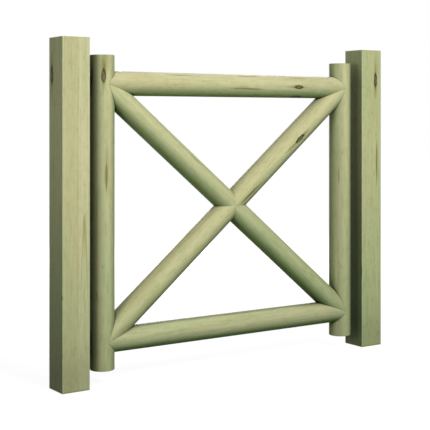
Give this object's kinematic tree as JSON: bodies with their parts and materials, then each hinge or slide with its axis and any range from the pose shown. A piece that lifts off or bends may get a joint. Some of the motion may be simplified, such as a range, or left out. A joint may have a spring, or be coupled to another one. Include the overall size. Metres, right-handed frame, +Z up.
{
  "type": "wooden garden gate between two posts",
  "caption": "Round-log garden gate with crossed braces, hung on strap hinges between two square posts; it swings open away from its front.",
  "frame": {"origin": "middle of the hinge post's foot, on the ground", "axes": "+X from the hinge post to the latch post, +Y from the front of the gate to its back, +Z up"},
  "size_m": [1.25, 0.09, 1.045],
  "materials": {
    "post_timber": "planed, pressure-treated softwood",
    "log_timber": "machine-rounded, pressure-treated softwood",
    "hinge_steel": "dull galvanized",
    "screw_steel": "zinc plated"
  },
  "bodies": {
    "posts": {"hinge_post": "post_timber", "latch_post": "post_timber", "lower_pintle": "hinge_steel", "upper_pintle": "hinge_steel"},
    "leaf": {"hinge_stile": "log_timber", "latch_stile": "log_timber", "bottom_rail": "log_timber", "top_rail": "log_timber", "falling_brace": "log_timber", "rising_brace": "log_timber", "lower_strap": "hinge_steel", "upper_strap": "hinge_steel", "lower_tenon_screw": "screw_steel", "upper_tenon_screw": "screw_steel", "lower_strap_screw_1": "screw_steel", "lower_strap_screw_2": "screw_steel", "lower_strap_screw_3": "screw_steel", "lower_strap_screw_4": "screw_steel", "upper_strap_screw_1": "screw_steel", "upper_strap_screw_2": "screw_steel", "upper_strap_screw_3": "screw_steel", "upper_strap_screw_4": "screw_steel", "lower_hinge_brace_screw": "screw_steel", "lower_latch_brace_screw": "screw_steel", "upper_hinge_brace_screw": "screw_steel", "upper_latch_brace_screw": "screw_steel", "lower_hinge_brace_washer": "screw_steel", "lower_latch_brace_washer": "screw_steel", "upper_hinge_brace_washer": "screw_steel", "upper_latch_brace_washer": "screw_steel", "middle_screw": "screw_steel", "middle_washer": "screw_steel"}
  },
  "joints": [
    {"name": "leaf_swing", "type": "hinge", "parent": "posts", "child": "leaf", "pos_m": [0.065, 0.02442, 0], "axis": [0, 0, 1], "range_deg": [0, 100]}
  ]
}
